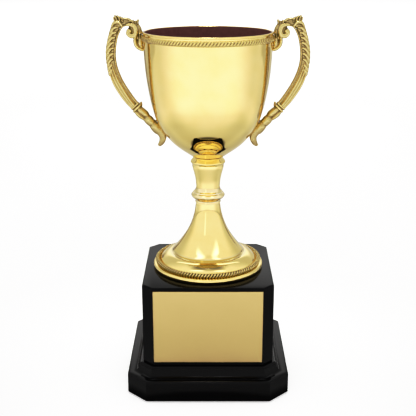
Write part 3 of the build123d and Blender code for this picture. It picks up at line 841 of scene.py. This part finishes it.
def handle_front(bm):
    """Leaves, petals, scroll, bracket rays and flutes."""
    for leaf in LEAVES:
        raised(bm, leaf, 1.95, face=2.15, edge=0.9, depth=1.7, root=0.8)
    for petal in PETALS:
        raised(bm, petal, 0.95, face=1.6, edge=0.7, depth=1.6)
    raised(bm, [(38.9, 208.2), (38.5, 209.8), (38.6, 210.9)], 1.0, face=1.3, edge=0.7, depth=1.8)
    raised(bm, [(40.9, 208.8), (41.4, 209.7), (41.2, 210.6)], 1.1, face=1.3, edge=0.7, depth=1.8)
    upper_edge = [(42.0, 209.9), (43.6, 211.0), (45.6, 211.4), (47.2, 211.0)]
    inner_edge = [(43.4, 207.5), (45.6, 207.5), (47.9, 206.0), (50.1, 201.6), (51.3, 196.4), (51.8, 190.6),
                  (51.0, 184.6), (48.8, 178.4), (45.9, 173.0), (42.5, 167.8), (39.7, 164.0)]
    for line, out in ((upper_edge, 1.9), (inner_edge, 1.45)):
        roll(bm, [(x, -out, z) for x, z in line], (0.8, 0.8, 0.8), (1.8, 1.8, 1.8))
    for shift, width in ((-0.9, 1.3), (0.45, 1.4), (1.8, 1.4)):
        flute = [(54.1, 184.6), (51.7, 177.8), (48.7, 172.2), (45.0, 166.4), (41.7, 162.2)]
        taper = (1.0, 1.0, 1.0, 0.85, 0.7)
        line = [(x + shift * t * 0.85, -1.8, z - shift * t * 0.55) for (x, z), t in zip(flute, taper)]
        roll(bm, line, (width * 0.6, width * 1.1, width * 1.1, width), (1.5, 1.6, 1.6, 1.4))
    scroll = [(45.0, 207.9), (43.0, 208.1), (40.6, 207.2), (39.8, 204.8), (40.3, 202.6), (42.2, 201.9),
              (43.9, 202.9), (44.0, 204.6), (43.1, 205.1)]
    roll(bm, [(x, -1.7, z) for x, z in scroll], (1.4, 2.2, 2.7, 2.8, 2.6, 2.3, 1.9),
         (2.2, 2.6, 2.8, 2.8, 2.6, 2.4, 2.0), 0.7)
    bracket = [(40.0, 201.4), (40.4, 199.3), (39.8, 196.9), (38.2, 195.2), (35.9, 194.2)]
    roll(bm, [(x, -1.5, z) for x, z in bracket], (1.8, 2.1, 2.2, 2.1, 1.8), (2.4, 2.8, 2.8, 2.8, 2.4))
    for ray in ([(36.6, 199.8), (36.6, 201.4), (36.9, 203.2)], [(37.6, 199.6), (37.8, 201.4), (38.0, 203.4)],
                [(38.6, 200.0), (38.9, 201.4), (39.0, 202.6)]):
        raised(bm, ray, 0.7, face=1.3, depth=1.4)
    roll(
        bm, [(38.3, -1.9, 163.6), (40.3, -2.3, 161.7), (42.3, -1.6, 159.6)],
        (1.2, 1.4, 1.2), (1.8, 2.0, 1.8),
    )
    roll(
        bm, [(39.4, -1.7, 164.6), (41.4, -2.1, 162.9), (43.3, -1.5, 161.0)],
        (1.0, 1.1, 1.0), (1.6, 1.8, 1.6),
    )


# %% Melt the wax into one skin
VOXEL = 0.195  # grid step of the remesh; smaller gives more faces


def cast_handle():
    """The right handle as one bmesh."""
    wax = bmesh.new()
    handle_front(wax)
    bmesh.ops.mirror(wax, geom=wax.verts[:] + wax.edges[:] + wax.faces[:], axis="Y", merge_dist=-1)
    handle_core(wax)
    handle_foot(wax)
    bmesh.ops.recalc_face_normals(wax, faces=wax.faces)
    mesh = bpy.data.meshes.new("wax")
    wax.to_mesh(mesh)
    wax.free()
    model = bpy.data.objects.new("wax", mesh)
    bpy.context.scene.collection.objects.link(model)
    melt = model.modifiers.new("melt", "REMESH")
    melt.mode, melt.voxel_size = "VOXEL", VOXEL * MM
    soften = model.modifiers.new("soften", "SMOOTH")
    soften.factor, soften.iterations = 0.5, 2
    bpy.context.view_layer.update()
    skin = bpy.data.meshes.new_from_object(model.evaluated_get(bpy.context.evaluated_depsgraph_get()))
    cast = bmesh.new()
    cast.from_mesh(skin)
    bpy.data.objects.remove(model)
    bpy.data.meshes.remove(mesh)
    bpy.data.meshes.remove(skin)
    return cast


right = cast_handle()
left = right.copy()
bmesh.ops.scale(left, verts=left.verts, vec=(-1, 1, 1))
finish_piece("handle_right", right, handle_gold, "handle_right", 80)
finish_piece("handle_left", left, handle_gold, "handle_left", 80)

# %% [markdown]
# ## Floor, light and camera
# A pale floor and broad soft lamps, as in a shop's product studio. Mirror gold shows the
# room, so most of what stands round the cup is there to be reflected. The floor also shines
# a little round the base, which makes the trophy's shadow on it paler.

# %% Floor
GLOW_NEAR, GLOW_FAR, FLOOR_GLOW = 0.05, 0.19, 0.36
floor_mesh = bmesh.new()
bmesh.ops.create_circle(floor_mesh, cap_ends=True, segments=96, radius=6.0)
mesh = bpy.data.meshes.new("floor")
floor_mesh.to_mesh(mesh)
floor_mesh.free()
floor = bpy.data.objects.new("floor", mesh)
bpy.context.scene.collection.objects.link(floor)
paper, shader, s = new_finish("pale_paper")
reach = s.node("VectorMath", {"operation": "LENGTH"}, out=1, _0=here(s))
fill = s.node("MapRange", SMOOTH, _0=reach, _1=GLOW_NEAR, _2=GLOW_FAR, _3=1.0, _4=0.0)
connect(
    shader,
    Base_Color=rgb(0.92, 0.92, 0.92),
    Roughness=0.9,
    Specular_IOR_Level=0.0,
    Emission_Color=fill.mix(rgb(0, 0, 0), rgb(1, 1, 1)),
    Emission_Strength=FLOOR_GLOW,
)
mesh.materials.append(paper)
print("the floor shines out to", GLOW_FAR, "m")

# %% [markdown]
# The lamps look straight down and light patches of floor for the gold to mirror. Only the
# strip at the left is aimed at the trophy.

# %% Lamps
COOL, WHITE = (1.0, 0.98, 1.06), (1, 1, 1)


def softbox(name, place, target, size, power, colour=WHITE, spread=180):
    """A rectangular lamp at `place`, aimed at `target`, sizes in metres."""
    lamp = bpy.data.lights.new(name, "AREA")
    lamp.shape = "RECTANGLE"
    lamp.size, lamp.size_y = size
    lamp.energy, lamp.color = power, colour
    lamp.spread = radians(spread)
    thing = bpy.data.objects.new(name, lamp)
    bpy.context.scene.collection.objects.link(thing)
    aim = (Vector(target) - Vector(place)).to_track_quat("-Z", "Y")
    thing.matrix_world = Matrix.Translation(place) @ aim.to_matrix().to_4x4()
    return thing


softbox("front_pool", (-0.1, -1.66, 0.62), (-0.1, -1.66, 0.0), (4.0, 3.1), 24, COOL, 20)
for side in (-1, 1):
    across = 1.15 * side
    softbox("side_pool", (across, 0.15, 0.62), (across, 0.15, 0.0), (1.7, 0.52), 1.7, COOL, 20)
softbox("near_back", (0.0, 0.42, 0.9), (0.0, 0.42, 0.0), (0.56, 0.9), 0.6, WHITE, 20)
softbox("back_wash", (0.0, 2.5, 1.7), (0.0, 2.5, 0.0), (2.6, 3.2), 30, WHITE, 90)
softbox("left_strip", (-0.30, -0.84, 0.42), (0, 0, 0.1), (0.13, 0.6), 0.10)

# %% [markdown]
# Cards are seen only in reflections. Two dark ones behind the trophy draw thin lines down
# the sides of the polished metal. One lies on the floor with painted light and shade: pale in
# front like a pool of light, darker at the sides and behind, and darkest close in, a painted
# shadow of the base. It sets how bright the floor looks in the gold and the plinth.

# %% Dark cards and the floor card
FLAG_REACH, FLAG_SIZE = 0.40, (0.075, 0.15)


def flag(name, place, size, turn, finish):
    """A card that only reflections see, such as a dark one for a line down polished metal."""
    card = bmesh.new()
    bmesh.ops.create_grid(card, x_segments=1, y_segments=1, size=0.5)
    bmesh.ops.transform(
        card, verts=card.verts,
        matrix=Matrix.Translation(place) @ Matrix.Rotation(turn, 4, "Z")
        @ Matrix.Rotation(pi / 2, 4, "X") @ Matrix.Diagonal((*size, 1, 1)),
    )
    sheet = bpy.data.meshes.new(name)
    card.to_mesh(sheet)
    card.free()
    sheet.materials.append(finish)
    thing = bpy.data.objects.new(name, sheet)
    bpy.context.scene.collection.objects.link(thing)
    thing.visible_camera = False
    thing.visible_shadow = thing.visible_diffuse = False
    return thing


black_card, shader, _ = new_finish("black_card")
connect(shader, Base_Color=rgb(0.28, 0.27, 0.25), Roughness=1.0)
for side, bearing in (("left", -148), ("right", 134)):
    away = radians(bearing)
    spot = (FLAG_REACH * sin(away), -FLAG_REACH * cos(away), FLAG_SIZE[1] / 2)
    flag(f"{side}_flag", spot, FLAG_SIZE, away, black_card)
grey_card, shader, s = new_finish("grey_card")
spot = here(s)
reach = s.node("VectorMath", {"operation": "LENGTH"}, out=1, _0=spot)
bearing = s.node("VectorMath", {"operation": "NORMALIZE"}, _0=spot)
ahead = s.node("VectorMath", {"operation": "DOT_PRODUCT"}, out=1, _0=bearing, _1=(-0.05, -0.9987, 0))
# The card's grey is painted light and shade for the gold to mirror: a pool of light in front, falling off to
# the sides and behind, and the base's shadow close in.
painted_front_pool = s.node("MapRange", SMOOTH, _0=ahead, _1=-0.10, _2=0.75, _3=0.0, _4=1.0)
painted_side_falloff = s.node("MapRange", SMOOTH, _0=reach, _1=0.15, _2=0.50, _3=0.80, _4=0.53)
painted_near_shade = s.node("MapRange", SMOOTH, _0=reach, _1=0.17, _2=0.33, _3=0.70, _4=1.0)
painted_base_shadow = s.node("MapRange", SMOOTH, _0=reach, _1=0.060, _2=0.072, _3=0.15, _4=1.0)
behind = s.node("MapRange", SMOOTH, _0=ahead, _1=-0.80, _2=-0.25, _3=0.70, _4=1.0)
grey = (painted_side_falloff + (0.92 - painted_side_falloff) * painted_front_pool) * painted_near_shade * painted_base_shadow * behind
connect(shader, Base_Color=grey.node("CombineColor", _0=grey, _1=grey, _2=grey), Roughness=1.0)
table_card = flag("table_card", (0, 0, 0), (8, 8), 0, grey_card)
table_card.data.transform(Matrix.Translation((0, 0, 0.0005)) @ Matrix.Rotation(pi / 2, 4, "X"))

# %% [markdown]
# Two cards high up in front and one behind shine out of their middles, and give the gold
# its soft white highlights.

# %% Glowing cards

def glow(name, place, size, strength):
    """A card that shines softly out of its middle, turned to the object; only reflections see it."""
    material, shader, s = new_finish(name)
    off = s.node("VectorMath", {"operation": "SUBTRACT"}, _0=here(s), _1=place)
    off = s.node("VectorMath", {"operation": "MULTIPLY"}, _0=off, _1=(1 / size[0], 0, 1 / size[1]))
    off = s.node("VectorMath", {"operation": "LENGTH"}, out=1, _0=off)
    fade = s.node("MapRange", SMOOTH, _0=off, _1=0.12, _2=0.5, _3=1.0, _4=0.0)
    connect(
        shader,
        Base_Color=rgb(0, 0, 0),
        Roughness=1.0,
        Specular_IOR_Level=0.0,
        Emission_Color=rgb(1.0, 0.99, 0.97),
        Emission_Strength=strength,
        Alpha=fade,
    )
    return flag(name, place, size, 0, material)


glow("left_glow", (-0.38, -0.42, 1.10), (0.72, 0.85), 2.8)
glow("right_glow", (0.44, -0.50, 1.05), (0.66, 0.85), 2.8)
glow("back_glow", (0.0, 1.5, 0.74), (2.6, 0.9), 1.35)
print("glowing cards made")

# %% [markdown]
# The room itself is a plain pale dome, dimmer behind the trophy and straight overhead.

# %% Room
world = bpy.context.scene.world or bpy.data.worlds.new("studio")
bpy.context.scene.world = world
world.use_nodes = True
room = Signal(world.node_tree)
looking = room.node("TexCoord", out=0)
front = room.node("SeparateXYZ", out=1, Vector=looking)
wall = room.node("MapRange", SMOOTH, _0=front, _1=0.55, _2=-0.05, _3=0.62, _4=1.05)
up = room.node("SeparateXYZ", out=2, Vector=looking)
ceiling = room.node("MapRange", SMOOTH, _0=up, _1=0.86, _2=0.97, _3=1.0, _4=0.6)
background = world.node_tree.nodes["Background"]
connect(background, Color=rgb(1, 0.99, 0.97), Strength=wall * ceiling)
print("room", world.name)

# %% [markdown]
# The camera looks down a little. The film rolls bright gold off softly, as a print does.

# %% Camera
LENS, PITCH_DOWN = 71.49, 17.276
CAMERA_PLACE = (0, -0.46491, 0.24667)
camera_data = bpy.data.cameras.new("camera")
camera = bpy.data.objects.new("camera", camera_data)
bpy.context.scene.collection.objects.link(camera)
camera_data.sensor_width = 36.0
camera_data.lens = LENS
camera_data.clip_start = 0.01
camera.matrix_world = Matrix.Translation(CAMERA_PLACE) @ Matrix.Rotation(
    radians(90 - PITCH_DOWN), 4, "X"
)
bpy.context.scene.camera = camera
print("lens", LENS, "mm, looking down", PITCH_DOWN, "degrees")

# %% Film
FILM_CURVE = (
    (0.015, 0.016), (0.05, 0.072), (0.10, 0.162), (0.15, 0.285), (0.20, 0.425), (0.35, 0.72),
    (0.5, 0.94), (0.62, 0.99),
)
view = bpy.context.scene.view_settings
view.view_transform = "Standard"
view.use_curve_mapping = True
curve = view.curve_mapping
curve.white_level = (2.0, 2.0, 2.0)
curve.extend = "HORIZONTAL"
tone = curve.curves[3]
tone.points[0].location = (0.0, 0.0)
tone.points[1].location = (1.0, 1.0)
for place in FILM_CURVE:
    tone.points.new(*place)
curve.update()
print("film curve with", len(tone.points), "points")
